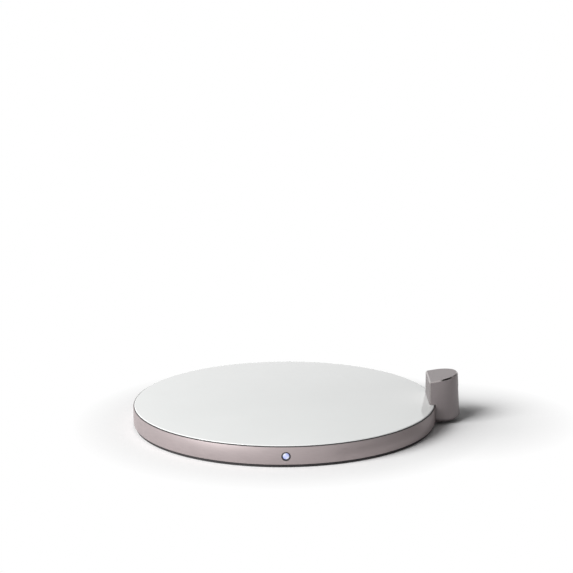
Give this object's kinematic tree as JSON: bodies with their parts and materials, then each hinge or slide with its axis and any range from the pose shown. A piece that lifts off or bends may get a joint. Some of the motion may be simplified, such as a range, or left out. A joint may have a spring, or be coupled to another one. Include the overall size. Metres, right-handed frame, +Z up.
{
  "type": "electric mug warmer",
  "caption": "Thin round warming plate with a glass top in a satin metal ring, a lit push button at the front and a D-shaped inlet post at the side.",
  "frame": {"origin": "centre of the disc, on the table plane under the foot pad", "axes": "+Z up; the button faces -Y; the post stands at +X with its inlet facing +X"},
  "size_m": [0.1081, 0.1, 0.0163],
  "materials": {
    "rose_aluminium": "satin anodised, faint brushing, polished chamfers on the post",
    "white_glass": "white back-painted glass, glossy",
    "dark_seal": "matte",
    "dark_silicone": "matte silicone",
    "dark_plastic": "fine matte",
    "bare_aluminium": "rolled",
    "amber_film": "polyimide film",
    "white_insulation": "glass fibre felt",
    "green_board": "solder mask",
    "screw_steel": "plain",
    "clear_cap": "milky and lit from behind",
    "chip_black": "moulded",
    "lamp_white": "moulded",
    "capacitor_tan": "ceramic",
    "lead_insulation": "soft insulation"
  },
  "bodies": {
    "housing": {"base_plate": "dark_plastic", "base_screws": "screw_steel", "board_capacitors": "capacitor_tan", "button_bezel": "dark_plastic", "control_chip": "chip_black", "cover_screws": "screw_steel", "foot_pad": "dark_silicone", "glass_gasket": "dark_seal", "glass_top": "white_glass", "heat_spreader": "bare_aluminium", "heater_driver": "chip_black", "heater_film": "amber_film", "heater_leads": "screw_steel", "indicator_lamp": "lamp_white", "inlet_board": "green_board", "inlet_socket": "screw_steel", "inlet_tongue": "chip_black", "insulation_pad": "white_insulation", "main_board": "green_board", "post_cover": "dark_plastic", "post_screws": "screw_steel", "post_shell": "rose_aluminium", "power_leads": "lead_insulation", "rim_ring": "rose_aluminium", "sensor_connector": "lamp_white", "sensor_ribbon": "amber_film", "supply_chip": "chip_black", "switch_body": "chip_black", "temperature_sensor": "chip_black", "thermal_fuse": "capacitor_tan"},
    "button": {"power_button": "clear_cap", "switch_plunger": "dark_plastic"}
  },
  "joints": [
    {"name": "button_press", "type": "slide", "parent": "housing", "child": "button", "axis": [0, 1, 0], "range_m": [0, 0.00035], "stiffness_N_per_m": 1500, "springref_m": -0.0003}
  ]
}
